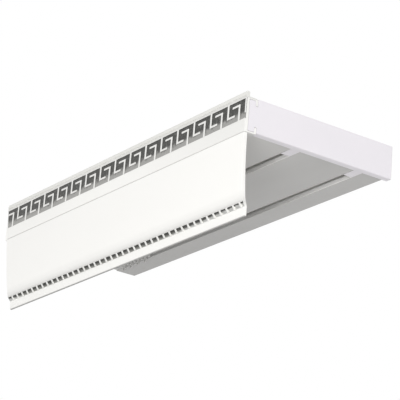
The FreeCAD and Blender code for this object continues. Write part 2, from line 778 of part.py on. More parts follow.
def make_runner(name, along, row):
    body = new_body(name)
    half_length = size("runner_length") / 2
    half_width = size("channel_width") / 2 - size("runner_side_gap")
    half_neck = size("neck_length") / 2
    half_neck_width = size("slot_width") / 2 - size("neck_side_gap")
    head = new_sketch(body, "XY_Plane", HEAD_BOTTOM)
    rectangle(head, -half_length, half_length, -half_width, half_width)
    head_pad = pad(body, head, size("runner_thickness"))

    def upright(edge):
        return edge.BoundBox.ZLength > 1e-3

    round_edges(body, head_pad, size("runner_rounding"), upright)
    neck = new_sketch(body, "XY_Plane", HEAD_BOTTOM)
    rectangle(neck, -half_neck, half_neck, -half_neck_width, half_neck_width)
    pad(body, neck, HEAD_BOTTOM - NECK_BOTTOM, backwards=True)
    bore = new_sketch(body, "XY_Plane", HEAD_BOTTOM)
    circle(bore, MIDDLE, MIDDLE, size("pin_radius") + size("pin_clearance"))
    cut_through(body, bore)
    place(body, along=along, across=row)


def make_ring(name, along, row):
    gap = size("running_clearance")
    wire = size("ring_wire")
    loop_centre = NECK_BOTTOM - gap - wire - size("ring_radius")
    pin_bottom = NECK_BOTTOM - gap - wire * 2
    pin = document.addObject("Part::Cylinder", f"{name}_pin")
    bind(pin, "Radius", size("pin_radius"))
    bind(pin, "Height", HEAD_TOP + gap - pin_bottom)
    place(pin, along=along, across=row, up=pin_bottom)
    head = document.addObject("Part::Cylinder", f"{name}_pin_head")
    bind(head, "Radius", size("pin_head_radius"))
    bind(head, "Height", size("pin_head_thickness"))
    place(head, along=along, across=row, up=HEAD_TOP + gap)
    loop = document.addObject("Part::Torus", f"{name}_loop")
    bind(loop, "Radius1", size("ring_radius"))
    bind(loop, "Radius2", wire)
    loop.Placement.Rotation = FreeCAD.Rotation(FreeCAD.Vector(1, 0, 0), 90)
    place(loop, along=along, across=row, up=loop_centre)
    ring = document.addObject("Part::MultiFuse", name)
    ring.Label = name
    ring.Shapes = [pin, head, loop]


def make_runners():
    for side, row in ROWS.items():
        along = FIRST_RUNNER
        for number in range(1, RUNNERS_PER_ROW + 1):
            make_runner(f"{side}_runner_{number}", along, row)
            make_ring(f"{side}_ring_{number}", along, row)
            along = along + RUNNER_PITCH


def sub_parts():
    """The finished pieces: bodies, and the booleans that nothing else uses."""
    kinds = ("PartDesign::Body", "Part::Cut", "Part::MultiFuse")
    return [item for item in document.Objects if item.TypeId in kinds]


def check_model():
    for item in document.Objects:
        if "Invalid" in item.State or "Error" in item.State:
            raise RuntimeError(f"{item.Label} ({item.Name}) did not compute: {item.State}")
    for item in sub_parts():
        if item.Shape.isNull() or not item.Shape.isValid() or not item.Shape.Solids:
            raise RuntimeError(f"{item.Label} has no valid solid")


def write_parts():
    os.makedirs("parts", exist_ok=True)
    for item in sub_parts():
        item.Shape.exportStep(f"parts/{item.Label}.step")
        box = item.Shape.BoundBox
        print(
            f"{item.Label}: {len(item.Shape.Solids)} solid, {item.Shape.Volume:.1f} mm3, "
            f"x {box.XMin:.2f} to {box.XMax:.2f}, y {box.YMin:.2f} to {box.YMax:.2f}, "
            f"z {box.ZMin:.2f} to {box.ZMax:.2f}"
        )


make_track()
make_fascia_panel()
make_fascia_top_lip()
make_meander_foil()
make_upper_keys()
make_lower_keys()
make_dentil_foil()
make_dentil_teeth()
make_end_cap()
for side, row in ROWS.items():
    make_stop(f"{side}_stop", row)
    make_stop_screw(f"{side}_stop_screw", row)
make_runners()
document.recompute()
check_model()
write_parts()
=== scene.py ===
# %% [markdown]
# # A double curtain track
#
# The object is a sample of a ceiling track for two rows of curtains: a hollow plastic extrusion
# with two runner slots in its underside, a tall ornamented fascia clipped to its front, an end cap
# and the runners. It hangs from a ceiling, so the eye looks up at it from below. This lesson
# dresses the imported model, which is loaded first and gives the places and the outside sizes.

import json
import math

import bmesh
import bpy
from mathutils import Matrix, Vector


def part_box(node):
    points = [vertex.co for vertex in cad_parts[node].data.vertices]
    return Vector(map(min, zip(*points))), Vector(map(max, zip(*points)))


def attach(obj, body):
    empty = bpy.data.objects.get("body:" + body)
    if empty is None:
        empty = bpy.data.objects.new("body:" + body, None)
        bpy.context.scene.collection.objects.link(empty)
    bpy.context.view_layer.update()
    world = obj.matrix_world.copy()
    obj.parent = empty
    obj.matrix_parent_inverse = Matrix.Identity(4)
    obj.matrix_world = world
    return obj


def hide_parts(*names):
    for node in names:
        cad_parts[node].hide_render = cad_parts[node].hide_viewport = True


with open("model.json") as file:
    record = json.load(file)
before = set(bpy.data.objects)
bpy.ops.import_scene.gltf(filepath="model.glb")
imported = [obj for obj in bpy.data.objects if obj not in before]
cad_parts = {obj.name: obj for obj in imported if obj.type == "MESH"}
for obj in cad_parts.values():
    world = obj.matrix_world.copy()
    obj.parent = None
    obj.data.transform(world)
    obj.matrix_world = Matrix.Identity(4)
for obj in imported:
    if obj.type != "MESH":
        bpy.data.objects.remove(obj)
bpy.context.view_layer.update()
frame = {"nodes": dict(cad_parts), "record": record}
MM = 0.001
record = frame["record"]
SLOT_OF = {part["node"]: part["material_slot"] for part in record["subparts"]}
BODY_OF = {node: body for body, nodes in record["behaviour"]["bodies"].items() for node in nodes}

# %% [markdown]
# ## The camera
#
# A long lens looks up from the front right, so that the fascia, the cap and the underside all
# show. The photograph leans a little to one side, as a hand-held one does. A camera could be aimed
# with a Track To constraint, but a lean is easier to write as three angles: the heading over the
# ground, the climb, and the roll about the view line. The three make the camera's own axes.

# %% Camera
IMAGE_WIDTH = 400.0
SENSOR_WIDTH = 36.0
FOCAL_PIXELS = 1976.0
CAMERA_PLACE = Vector((947.0, -614.0, -424.0)) * MM
HEADING = math.radians(-56.71)
CLIMB = math.radians(20.12)
ROLL = math.radians(4.70)
NEAREST_SEEN = 0.01
FARTHEST_SEEN = 50.0


def camera_axes(heading, climb, roll):
    """The camera's right, up and forward directions."""
    level = math.cos(climb)
    forward = Vector((math.sin(heading) * level, math.cos(heading) * level, math.sin(climb)))
    right = Vector((math.cos(heading), -math.sin(heading), 0.0))
    up = right.cross(forward)
    turned_right = math.cos(roll) * right + math.sin(roll) * up
    turned_up = math.cos(roll) * up - math.sin(roll) * right
    return turned_right, turned_up, forward


def make_camera():
    right, up, forward = camera_axes(HEADING, CLIMB, ROLL)
    turn = Matrix((right, up, -forward)).transposed()
    data = bpy.data.cameras.new("photo_camera")
    data.sensor_width = SENSOR_WIDTH
    data.lens = FOCAL_PIXELS / IMAGE_WIDTH * SENSOR_WIDTH
    data.clip_start = NEAREST_SEEN
    data.clip_end = FARTHEST_SEEN
    camera = bpy.data.objects.new("photo_camera", data)
    camera.matrix_world = Matrix.Translation(CAMERA_PLACE) @ turn.to_4x4()
    bpy.context.scene.collection.objects.link(camera)
    bpy.context.scene.camera = camera
    return camera


camera = make_camera()
print("camera lens, mm:", round(camera.data.lens, 1))

# %% [markdown]
# ## A white studio
#
# The photograph is on pure white. A white backdrop behind the object would throw its own light
# round the edges, so the world does it: plain white for the eye and for reflections, and a softer
# grey as light. Light Path tells the two apart by the kind of ray. Math nodes put such factors
# together here and in the finishes, so they get a helper that takes sockets and numbers alike.

# %% World
AMBIENT = 0.50
WHITE_SEEN = 1.0
WHITE = (1.0, 1.0, 1.0, 1.0)


def calculate(nodes, links, operation, first, second, margin=0.0):
    """A Math node with two values, each a socket or a number; only Compare uses the margin."""
    step = nodes.new("ShaderNodeMath")
    step.operation = operation
    for socket, value in zip(step.inputs, (first, second)):
        if isinstance(value, float):
            socket.default_value = value
        else:
            links.new(value, socket)
    step.inputs[2].default_value = margin
    return step.outputs[0]


def is_seen(nodes, links):
    """A factor that is 1 for camera, glossy and transmission rays and 0 for diffuse light."""
    rays = nodes.new("ShaderNodeLightPath").outputs
    seen = calculate(nodes, links, "MAXIMUM", rays["Is Camera Ray"], rays["Is Glossy Ray"])
    return calculate(nodes, links, "MAXIMUM", seen, rays["Is Transmission Ray"])


def background(nodes, strength):
    """White light of the given strength."""
    light = nodes.new("ShaderNodeBackground")
    light.inputs["Strength"].default_value = strength
    light.inputs["Color"].default_value = WHITE
    return light.outputs[0]


def make_world():
    world = bpy.data.worlds.new("white_studio")
    world.use_nodes = True
    nodes, links = world.node_tree.nodes, world.node_tree.links
    nodes.clear()
    mix = nodes.new("ShaderNodeMixShader")
    links.new(is_seen(nodes, links), mix.inputs["Fac"])
    links.new(background(nodes, AMBIENT), mix.inputs[1])
    links.new(background(nodes, WHITE_SEEN), mix.inputs[2])
    output = nodes.new("ShaderNodeOutputWorld")
    links.new(mix.outputs[0], output.inputs["Surface"])
    bpy.context.scene.world = world


make_world()
print("world light:", AMBIENT, "world seen:", WHITE_SEEN)

# %% [markdown]
# ## Floor and lamps
#
# A pale floor far below sends some light back up, as the studio's does. One large soft lamp
# stands nearly level in front and to the right and makes the fascia brightest. A smaller one
# stands low beside it and looks up past the fascia into the slots, so that their far lips shine,
# and at the underside, the cap's bottom flange and its tongues. Points of light would be simpler
# than these squares, but they would give the hard shadows that the photograph doesn't have.

# %% Floor and lamps
FLOOR_DROP = 1.6
FLOOR_SIZE = 14.0
FLOOR_COLOUR = (0.9, 0.9, 0.9, 1.0)
FLOOR_ROUGHNESS = 0.9
KEY_DISTANCE = 2.4
KEY_SIZE = 1.8
KEY_POWER = 28.0
KEY_HEADING = math.radians(44.0)
KEY_CLIMB = math.radians(4.0)
LOW_DISTANCE = 2.4
LOW_SIZE = 1.2
LOW_POWER = 20.0
LOW_HEADING = math.radians(48.0)
LOW_CLIMB = math.radians(-28.0)


def make_floor():
    drawing = bmesh.new()
    bmesh.ops.create_grid(drawing, x_segments=1, y_segments=1, size=FLOOR_SIZE / 2)
    bmesh.ops.translate(drawing, verts=drawing.verts, vec=(0.0, 0.0, -FLOOR_DROP))
    mesh = bpy.data.meshes.new("floor")
    drawing.to_mesh(mesh)
    drawing.free()
    floor = bpy.data.objects.new("floor", mesh)
    bpy.context.scene.collection.objects.link(floor)
    finish = bpy.data.materials.new("pale_floor")
    finish.use_nodes = True
    shader = finish.node_tree.nodes["Principled BSDF"]
    shader.inputs["Base Color"].default_value = FLOOR_COLOUR
    shader.inputs["Roughness"].default_value = FLOOR_ROUGHNESS
    floor.data.materials.append(finish)


def make_lamp(name, heading, climb, distance, size, power):
    """A square soft lamp that looks at the middle of the track."""
    level = math.cos(climb)
    away = Vector((math.sin(heading) * level, -math.cos(heading) * level, math.sin(climb)))
    data = bpy.data.lights.new(name, "AREA")
    data.shape = "SQUARE"
    data.size = size
    data.energy = power
    lamp = bpy.data.objects.new(name, data)
    lamp.location = away * distance
    lamp.rotation_euler = away.to_track_quat("Z", "Y").to_euler()
    bpy.context.scene.collection.objects.link(lamp)


make_floor()
make_lamp("key_lamp", KEY_HEADING, KEY_CLIMB, KEY_DISTANCE, KEY_SIZE, KEY_POWER)
make_lamp("low_lamp", LOW_HEADING, LOW_CLIMB, LOW_DISTANCE, LOW_SIZE, LOW_POWER)
bpy.context.scene.view_settings.view_transform = "Standard"
print("lamps, W:", KEY_POWER, LOW_POWER)

# %% [markdown]
# ## Building blocks for finishes
#
# No plastic is one flat colour: an extrusion has fine lines along its length, a moulding has a
# faint grain, a stamped foil is mottled. A picture could be wrapped round the piece, but a
# procedural pattern has no seams and any scale. Each finish below starts from Object coordinates,
# which a Mapping node can stretch, and sends a pattern into colour, roughness and, apart from the
# zinc, bump.

# %% Finish helpers
UNSTRETCHED = (1.0, 1.0, 1.0)


def new_finish(name):
    material = bpy.data.materials.new(name)
    material.use_nodes = True
    tree = material.node_tree
    return material, tree.nodes, tree.links, tree.nodes["Principled BSDF"]


def stretched_place(nodes, links, scale):
    """Object coordinates times a scale along each axis; a small scale draws a pattern out."""
    place = nodes.new("ShaderNodeTexCoord")
    mapping = nodes.new("ShaderNodeMapping")
    mapping.inputs["Scale"].default_value = scale
    links.new(place.outputs["Object"], mapping.inputs["Vector"])
    return mapping.outputs["Vector"]


def noise(nodes, links, scale, detail=3.0, stretch=UNSTRETCHED):
    texture = nodes.new("ShaderNodeTexNoise")
    texture.inputs["Scale"].default_value = scale
    texture.inputs["Detail"].default_value = detail
    links.new(stretched_place(nodes, links, stretch), texture.inputs["Vector"])
    return texture.outputs["Fac"]


def remap(nodes, links, value, low, high, start=0.3, end=0.7):
    """Map the range from start to end, by default that of noise, onto the one from low to high."""
    change = nodes.new("ShaderNodeMapRange")
    change.inputs["From Min"].default_value = start
    change.inputs["From Max"].default_value = end
    change.inputs["To Min"].default_value = low
    change.inputs["To Max"].default_value = high
    links.new(value, change.inputs["Value"])
    return change.outputs["Result"]


def blend_colours(nodes, links, factor, first, second):
    """A mix of two colours, each a socket or a tuple of three."""
    mix = nodes.new("ShaderNodeMix")
    mix.data_type = "RGBA"
    for socket, colour in ((mix.inputs[6], first), (mix.inputs[7], second)):
        if isinstance(colour, tuple):
            socket.default_value = (*colour, 1.0)
        else:
            links.new(colour, socket)
    links.new(factor, mix.inputs[0])
    return mix.outputs[2]


def raise_bump(nodes, links, shader, height, distance):
    bump = nodes.new("ShaderNodeBump")
    bump.inputs["Strength"].default_value = 1.0
    bump.inputs["Distance"].default_value = distance
    links.new(height, bump.inputs["Height"])
    links.new(bump.outputs["Normal"], shader.inputs["Normal"])


print("finish helpers ready")

# %% [markdown]
# ## Colour by place
#
# Painted light and shade, and other changes of colour, sit in definite places on this object: on
# the lips of a slot, in a strip beside the seam, at a sawn end. Such places could be painted on a
# picture or given a material each, but their edges all run straight along an axis, so a box or a
# height in Object coordinates finds them. A Math node set to Compare says whether a coordinate is
# within reach of a middle, and the product of one for each axis is 1 inside the box and 0 outside
# it. Where a box is open to one side, that side is put far beyond the piece.

# %% Colour by place
FAR = 200.0


def object_place(nodes, links):
    """The outputs X, Y and Z of Object coordinates, in metres."""
    place = nodes.new("ShaderNodeTexCoord")
    split = nodes.new("ShaderNodeSeparateXYZ")
    links.new(place.outputs["Object"], split.inputs[0])
    return split.outputs


def inside(nodes, links, place, box):
    """A factor that is 1 in a box, given by its low and high end on each axis, in millimetres."""
    factor = 1.0
    for axis, (low, high) in box.items():
        middle = (low + high) / 2 * MM
        reach = (high - low) / 2 * MM
        within = calculate(nodes, links, "COMPARE", place[axis], middle, reach)
        factor = calculate(nodes, links, "MULTIPLY", within, factor)
    return factor


def paint_box(nodes, links, colour, box, paint, fade=None):
    """Paint a box; a fade grows along an axis, from none at its start to a share at its end."""
    place = object_place(nodes, links)
    factor = inside(nodes, links, place, box)
    if fade:
        axis, start, end, share = fade
        grown = remap(nodes, links, place[axis], 0.0, share, start * MM, end * MM)
        factor = calculate(nodes, links, "MULTIPLY", factor, grown)
    return blend_colours(nodes, links, factor, colour, paint)


def tint_by_height(nodes, links, colour, stops):
    """Darken a colour by height; each stop is a height in millimetres and a share of light."""
    lowest, highest = stops[0][0], stops[-1][0]
    height = object_place(nodes, links)["Z"]
    level = remap(nodes, links, height, 0.0, 1.0, lowest * MM, highest * MM)
    ramp = nodes.new("ShaderNodeValToRGB")
    links.new(level, ramp.inputs[0])
    elements = ramp.color_ramp.elements
    for index, (stop_height, share) in enumerate(stops):
        position = (stop_height - lowest) / (highest - lowest)
        # A new ramp already has two stops, which are used up first.
        stop = elements[index] if index < 2 else elements.new(position)
        stop.position = position
        stop.color = (share, share, share, 1.0)
    mix = nodes.new("ShaderNodeMix")
    mix.data_type = "RGBA"
    mix.blend_type = "MULTIPLY"
    mix.inputs[0].default_value = 1.0
    links.new(colour, mix.inputs[6])
    links.new(ramp.outputs["Color"], mix.inputs[7])
    return mix.outputs[2]


print("colour by place ready")

# %% [markdown]
# ## Extruded plastic
#
# The track, the fascia and its lip come out of a die, which leaves lines along their length that
# are finer than a hair. A Wave texture would make them too regular, so the noise is stretched
# a hundredfold along X instead. One function serves the three, because only their colour, their
# sheen and the depth of the lines differ.

# %% Extruded plastic
LINE_STRETCH = (3.0, 300.0, 300.0)
LINE_SCALE = 4.0
STREAK_STRETCH = (12.0, 40.0, 40.0)
STREAK_SCALE = 1.0
SOFT_DETAIL = 2.0
SHEEN_DROP = 0.02
SHEEN_RISE = 0.03


def extruded_plastic(name, pale, shaded, roughness, line_depth, change=None):
    """Plastic with fine lines along X; change, if given, turns its colour socket into another."""
    material, nodes, links, shader = new_finish(name)
    lines = noise(nodes, links, LINE_SCALE, stretch=LINE_STRETCH)
    streaks = noise(nodes, links, STREAK_SCALE, SOFT_DETAIL, STREAK_STRETCH)
    tone = blend_colours(nodes, links, remap(nodes, links, streaks, 0.0, 1.0), pale, shaded)
    if change:
        tone = change(nodes, links, tone)
    links.new(tone, shader.inputs["Base Color"])
    sheen = remap(nodes, links, lines, roughness - SHEEN_DROP, roughness + SHEEN_RISE)
    links.new(sheen, shader.inputs["Roughness"])
    raise_bump(nodes, links, shader, lines, line_depth)
    return material


soft_pvc = extruded_plastic(
    "soft_pvc", (0.77, 0.766, 0.735), (0.74, 0.737, 0.705), roughness=0.55, line_depth=0.01 * MM
)
print("extruded finish:", soft_pvc.name)

# %% [markdown]
# ### The fascia's white
#
# The fascia is the whitest piece. Painted shade darkens it where it turns under above the dentils,
# in the seam, along the top edge and under the bottom lip. The flat front above the seam, all but
# the ornament's bed, is greyer towards the cap in the photograph, and the lamps don't make it so.
# Heights are easier to keep in one ramp than in a box each, so only this last strip is a box.

# %% The fascia's white
# Painted shade by height: under the bottom lip, above the dentils, in the seam and along the top
# edge.
FASCIA_PAINTED_SHADE = (
    (-68.5, 0.40), (-68.3, 0.55), (-68.0, 1.0), (-62.9, 1.0), (-60.4, 0.78), (-58.8, 0.87),
    (-57.4, 0.94), (-54.0, 1.0), (-21.3, 1.0), (-21.2, 0.62), (-20.7, 0.62), (-20.6, 0.995),
    (-13.3, 0.98), (-0.9, 0.93), (-0.6, 0.74), (0.0, 0.80),
)
STRIP = {"Y": (-FAR, -54.9), "Z": (-20.6, FAR)}
STRIP_GREY = (0.50, 0.495, 0.48)
STRIP_FADE = ("X", 10.0, 130.0, 0.25)


def shade_fascia(nodes, links, colour):
    """Paint shade on the fascia by height, and grey the strip above its seam towards the cap."""
    colour = tint_by_height(nodes, links, colour, FASCIA_PAINTED_SHADE)
    return paint_box(nodes, links, colour, STRIP, STRIP_GREY, STRIP_FADE)


fascia_pvc = extruded_plastic(
    "fascia_pvc", (0.92, 0.912, 0.885), (0.912, 0.904, 0.877),
    roughness=0.32, line_depth=0.001 * MM, change=shade_fascia,
)
print("stops of the fascia's tint:", len(FASCIA_PAINTED_SHADE))

# %% [markdown]
# ### The track's grey
#
# The track's colour is greyer than the other plastics': partly its own plainer plastic, partly
# painted shade for its underside, which lies in shade. In the photograph light makes the far lips
# of its slots pale near the cap, and it fills the channels and the underside beside the fascia.
# The lamps alone give too little of that, so painted light stands for the rest. Paint also makes
# the sawn end of the clip rail as pale as the fascia's, because it would show as a grey edge beside
# that. Chosen faces could have a second material, but a box can also let its paint grow along an
# axis.

# %% The track's grey
# Painted light: the far lips near the cap, the channels and the underside beside the fascia are
# painted paler.
LIP_FACES = (-12.0, 32.6)
LIP_MARGIN = 0.1
LIP_TOP = -15.9
LIP_PAINTED_LIGHT = (0.95, 0.94, 0.92)
LIP_LIGHT_FADE = ("X", 20.0, 105.0, 1.0)
CHANNEL_MIDDLES = (-15.0, 29.6)
CHANNEL_REACH = 6.7
CHANNEL_HEIGHTS = (-15.9, -1.7)
LIT_WHITE = (0.90, 0.89, 0.86)
UNDERSIDE = {"Z": (-FAR, -18.4)}
UNDERSIDE_FADE = ("Y", 0.0, -47.0, 0.30)
SAWN_RAIL = {"X": (-FAR, -125.0), "Y": (-FAR, -44.0)}
SAWN_WHITE = (0.95, 0.942, 0.915)


def paint_track_light_and_end(nodes, links, colour):
    """Paint light on the far lips, the channels and the underside; paint the sawn rail's end pale.
    """
    for face in LIP_FACES:
        lip = {"Y": (face - LIP_MARGIN, face + LIP_MARGIN), "Z": (-FAR, LIP_TOP)}
        colour = paint_box(nodes, links, colour, lip, LIP_PAINTED_LIGHT, LIP_LIGHT_FADE)
    for middle in CHANNEL_MIDDLES:
        channel = {"Y": (middle - CHANNEL_REACH, middle + CHANNEL_REACH), "Z": CHANNEL_HEIGHTS}
        colour = paint_box(nodes, links, colour, channel, LIT_WHITE)
    colour = paint_box(nodes, links, colour, UNDERSIDE, LIT_WHITE, UNDERSIDE_FADE)
    return paint_box(nodes, links, colour, SAWN_RAIL, SAWN_WHITE)


# The track's grey is partly its plainer plastic and partly painted shade for its shaded underside.
track_pvc = extruded_plastic(
    "track_pvc", (0.552, 0.546, 0.533), (0.527, 0.520, 0.508),
    roughness=0.42, line_depth=0.012 * MM, change=paint_track_light_and_end,
)
print("boxes on the track:", len(LIP_FACES) + len(CHANNEL_MIDDLES) + 2)

# %% [markdown]
# ## Moulded plastic
#
# The cap, the runners, their rings and the stops come out of moulds, whose spark-eroded faces
# leave an even grain of about a tenth of a millimetre. A fine noise gives the grain as bump, and
# a broad one the faint cloudiness of the colour. A little subsurface scattering would soften
# nylon, but at this size its only effect is noise in the picture, so the finish goes without. The
# nylon is greyer than the real one, so that the parked rings, which the photograph doesn't show,
# stand out less at the open end.

# %% Moulded plastic
GRAIN_SCALE = 5200.0
CLOUD_SCALE = 55.0
CLOUD_DROP = 0.04
CLOUD_RISE = 0.06
NYLON = (0.56, 0.555, 0.54)
NYLON_SHADED = (0.53, 0.525, 0.51)


def moulded_plastic(name, pale, shaded, roughness, grain_depth):
    material, nodes, links, shader = new_finish(name)
    grain = noise(nodes, links, GRAIN_SCALE)
    clouds = noise(nodes, links, CLOUD_SCALE, SOFT_DETAIL)
    tone = blend_colours(nodes, links, remap(nodes, links, clouds, 0.0, 1.0), pale, shaded)
    links.new(tone, shader.inputs["Base Color"])
    sheen = remap(nodes, links, clouds, roughness - CLOUD_DROP, roughness + CLOUD_RISE)
    links.new(sheen, shader.inputs["Roughness"])
    raise_bump(nodes, links, shader, grain, grain_depth)
    return material


cap_plastic = moulded_plastic(
    "cap_plastic", (0.825, 0.797, 0.832), (0.81, 0.784, 0.819),
    roughness=0.38, grain_depth=0.006 * MM,
)
runner_nylon = moulded_plastic(
    "runner_nylon", NYLON, NYLON_SHADED, roughness=0.36, grain_depth=0.004 * MM
)
ring_nylon = moulded_plastic(
    "ring_nylon", NYLON, NYLON_SHADED, roughness=0.32, grain_depth=0.003 * MM
)
print("moulded finishes:", cap_plastic.name, runner_nylon.name, ring_nylon.name)

# %% [markdown]
# ## Stamped foil
#
# The dark winding line is a metallic foil, stamped hot onto the fascia. It is near black along
# the top of the band and a mottled mid grey along the bottom, where it mirrors the pale room
# below. Reflections alone would give that only from one side, so a gradient along Z paints the
# reflection into the metal's colour. One noise makes the gradient ragged, a second wears pale spots
# through the foil, and a fine third one breaks up its gloss. The same function serves the foil of
# the dentils, which is also paler at both ends of the fascia, from the lower edge up.

# %% Stamped foil
PATCH_SCALE = 420.0
PATCH_DETAIL = 4.0
WEAR_SCALE = 640.0
WEAR_SHARE = 0.2
WEAR_START = 0.52
WEAR_END = 0.72
WORN_GREY = (0.55, 0.55, 0.52)
GLOSS_SCALE = 1500.0
FOIL_ROUGHNESS = 0.34
GLOSS_DROP = 0.08
GLOSS_RISE = 0.12
PATCH_DEPTH = 0.05
PALE_RIGHT = (40.0, 125.0)
PALE_LEFT = (-95.0, -125.0)
PALE_SHARE = 0.6
PALE_RAGGED = 0.1
PALE_FROM = -0.1
PALE_TO = 0.15
ENDS_WHITE = (0.88, 0.88, 0.85)


def pale_ends(nodes, links, place, patches, low, high, colour):
    """Make a foil paler from its lower edge up, the higher the nearer to an end of the fascia."""
    right, left = (
        remap(nodes, links, place["X"], 0.0, PALE_SHARE, start * MM, end * MM)
        for start, end in (PALE_RIGHT, PALE_LEFT)
    )
    reach = calculate(nodes, links, "MAXIMUM", right, left)
    ragged = remap(nodes, links, patches, -PALE_RAGGED, PALE_RAGGED)
    reach = calculate(nodes, links, "ADD", reach, ragged)
    level = remap(nodes, links, place["Z"], 0.0, 1.0, low, high)
    depth = calculate(nodes, links, "SUBTRACT", reach, level)
    paling = remap(nodes, links, depth, 0.0, 1.0, PALE_FROM, PALE_TO)
    return blend_colours(nodes, links, paling, colour, ENDS_WHITE)


def stamped_foil(name, low, high, bottom_colour, top_colour, mottle, paling=None):
    """A foil that turns from its bottom to its top colour between the heights low and high.

    The pair of heights in paling, if given, is where the paling of its ends starts and stops.
    """
    material, nodes, links, shader = new_finish(name)
    place = object_place(nodes, links)
    patches = noise(nodes, links, PATCH_SCALE, PATCH_DETAIL)
    shift = remap(nodes, links, patches, -mottle, mottle)
    height = calculate(nodes, links, "ADD", place["Z"], shift)
    # The gradient from the bottom to the top colour is painted reflection of the pale room below.
    climb = remap(nodes, links, height, 0.0, 1.0, low, high)
    metal = blend_colours(nodes, links, climb, bottom_colour, top_colour)
    spots = noise(nodes, links, WEAR_SCALE, SOFT_DETAIL)
    wear = remap(nodes, links, spots, 0.0, WEAR_SHARE, WEAR_START, WEAR_END)
    metal = blend_colours(nodes, links, wear, metal, WORN_GREY)
    if paling:
        metal = pale_ends(nodes, links, place, patches, *paling, metal)
    links.new(metal, shader.inputs["Base Color"])
    shader.inputs["Metallic"].default_value = 1.0
    fine = noise(nodes, links, GLOSS_SCALE, SOFT_DETAIL)
    gloss = remap(nodes, links, fine, FOIL_ROUGHNESS - GLOSS_DROP, FOIL_ROUGHNESS + GLOSS_RISE)
    links.new(gloss, shader.inputs["Roughness"])
    raise_bump(nodes, links, shader, patches, PATCH_DEPTH * MM)
    return material


band_low, band_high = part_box("meander_foil")
meander_foil = stamped_foil(
    "meander_foil", low=band_low.z + 2.6 * MM, high=band_low.z + 5.2 * MM,
    bottom_colour=(0.37, 0.365, 0.35), top_colour=(0.078, 0.078, 0.073), mottle=1.2 * MM,
)
slope_low, slope_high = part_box("dentil_foil")
dentil_foil = stamped_foil(
    "dentil_foil", low=slope_low.z + 0.2 * MM, high=slope_low.z + 1.4 * MM,
    bottom_colour=(0.50, 0.50, 0.47), top_colour=(0.115, 0.115, 0.107), mottle=0.25 * MM,
    paling=(slope_low.z, slope_high.z),
)
band_height = (band_high.z - band_low.z) / MM
slope_height = (slope_high.z - slope_low.z) / MM
print("foils span, mm:", round(band_height, 1), round(slope_height, 1))

# %% [markdown]
# ## Lacquer and zinc
#
# The strokes of the ornament are the fascia's own white, a shade softer where the stamp has
# pressed them. The clamping screws are zinc plated: a bright metal with fine crystals, which
# Voronoi cells make better than noise does.

# %% Lacquer and zinc
LACQUER_SCALE = 260.0
LACQUER_ROUGHNESS = (0.28, 0.4)
LACQUER_DEPTH = 0.02
CRYSTAL_SCALE = 2600.0
CRYSTAL_ROUGHNESS = (0.24, 0.42)


def lacquer():
    material, nodes, links, shader = new_finish("key_lacquer")
    clouds = noise(nodes, links, LACQUER_SCALE)
    share = remap(nodes, links, clouds, 0.0, 1.0)
    tone = blend_colours(nodes, links, share, (0.82, 0.812, 0.79), (0.75, 0.745, 0.725))
    links.new(tone, shader.inputs["Base Color"])
    links.new(remap(nodes, links, clouds, *LACQUER_ROUGHNESS), shader.inputs["Roughness"])
    raise_bump(nodes, links, shader, clouds, LACQUER_DEPTH * MM)
    return material


def zinc():
    material, nodes, links, shader = new_finish("screw_steel")
    cells = nodes.new("ShaderNodeTexVoronoi")
    cells.inputs["Scale"].default_value = CRYSTAL_SCALE
    links.new(stretched_place(nodes, links, UNSTRETCHED), cells.inputs["Vector"])
    distance = cells.outputs["Distance"]
    tone = blend_colours(nodes, links, distance, (0.60, 0.61, 0.63), (0.48, 0.49, 0.50))
    links.new(tone, shader.inputs["Base Color"])
    shader.inputs["Metallic"].default_value = 1.0
    gloss = remap(nodes, links, distance, *CRYSTAL_ROUGHNESS, 0.0, 1.0)
    links.new(gloss, shader.inputs["Roughness"])
    return material


FINISHES = {
    "track_pvc": track_pvc,
    "cap_plastic": cap_plastic,
    "fascia_pvc": fascia_pvc,
    "soft_pvc": soft_pvc,
    "foil": meander_foil,
    "key_lacquer": lacquer(),
    "runner_nylon": runner_nylon,
    "ring_nylon": ring_nylon,
    "screw_steel": zinc(),
}
for node_name, node in frame["nodes"].items():
    node.data.materials.clear()
    node.data.materials.append(FINISHES[SLOT_OF[node_name]])
frame["nodes"]["dentil_foil"].data.materials[0] = dentil_foil
print("finishes:", len(FINISHES) + 1)

# %% [markdown]
# ## Building blocks for shapes
#
# A finished piece is an object at the origin with its place in its mesh. Its normals point
# outwards, it is smooth where it curves, and a narrow bevel takes the sharpness off its corners,
# as a real die or mould does. The bevel could be cut into the mesh, but a Bevel modifier limited
# by angle does the same with one width, and a Weighted Normal modifier after it keeps large flat
# faces flat.

# %% Shape helpers
CORNER_ANGLE = math.radians(32.0)
FLAT_ANGLE = math.radians(0.5)
WELD = 0.002


def soften(piece, width, segments):
    """Round the corners of a piece by a width in millimetres."""
    bevel = piece.modifiers.new("soft_corners", "BEVEL")
    bevel.width = width * MM
    bevel.segments = segments
    bevel.limit_method = "ANGLE"
    bevel.angle_limit = CORNER_ANGLE
    bevel.harden_normals = True
    weighted = piece.modifiers.new("flat_faces", "WEIGHTED_NORMAL")
    weighted.keep_sharp = True


def finish_piece(drawing, name, node, softening=0.0, segments=2):
    """Turn a bmesh into the piece that stands for a node: same body, same slot, same finish."""
    bmesh.ops.recalc_face_normals(drawing, faces=drawing.faces)
    for face in drawing.faces:
        face.smooth = True
    mesh = bpy.data.meshes.new(name)
    drawing.to_mesh(mesh)
    drawing.free()
    mesh.set_sharp_from_angle(angle=CORNER_ANGLE)
    piece = bpy.data.objects.new(name, mesh)
    bpy.context.scene.collection.objects.link(piece)
    if softening:
        soften(piece, softening, segments)
    piece.data.materials.append(frame["nodes"][node].data.materials[0])
    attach(piece, BODY_OF[node])
    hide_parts(node)
    return piece


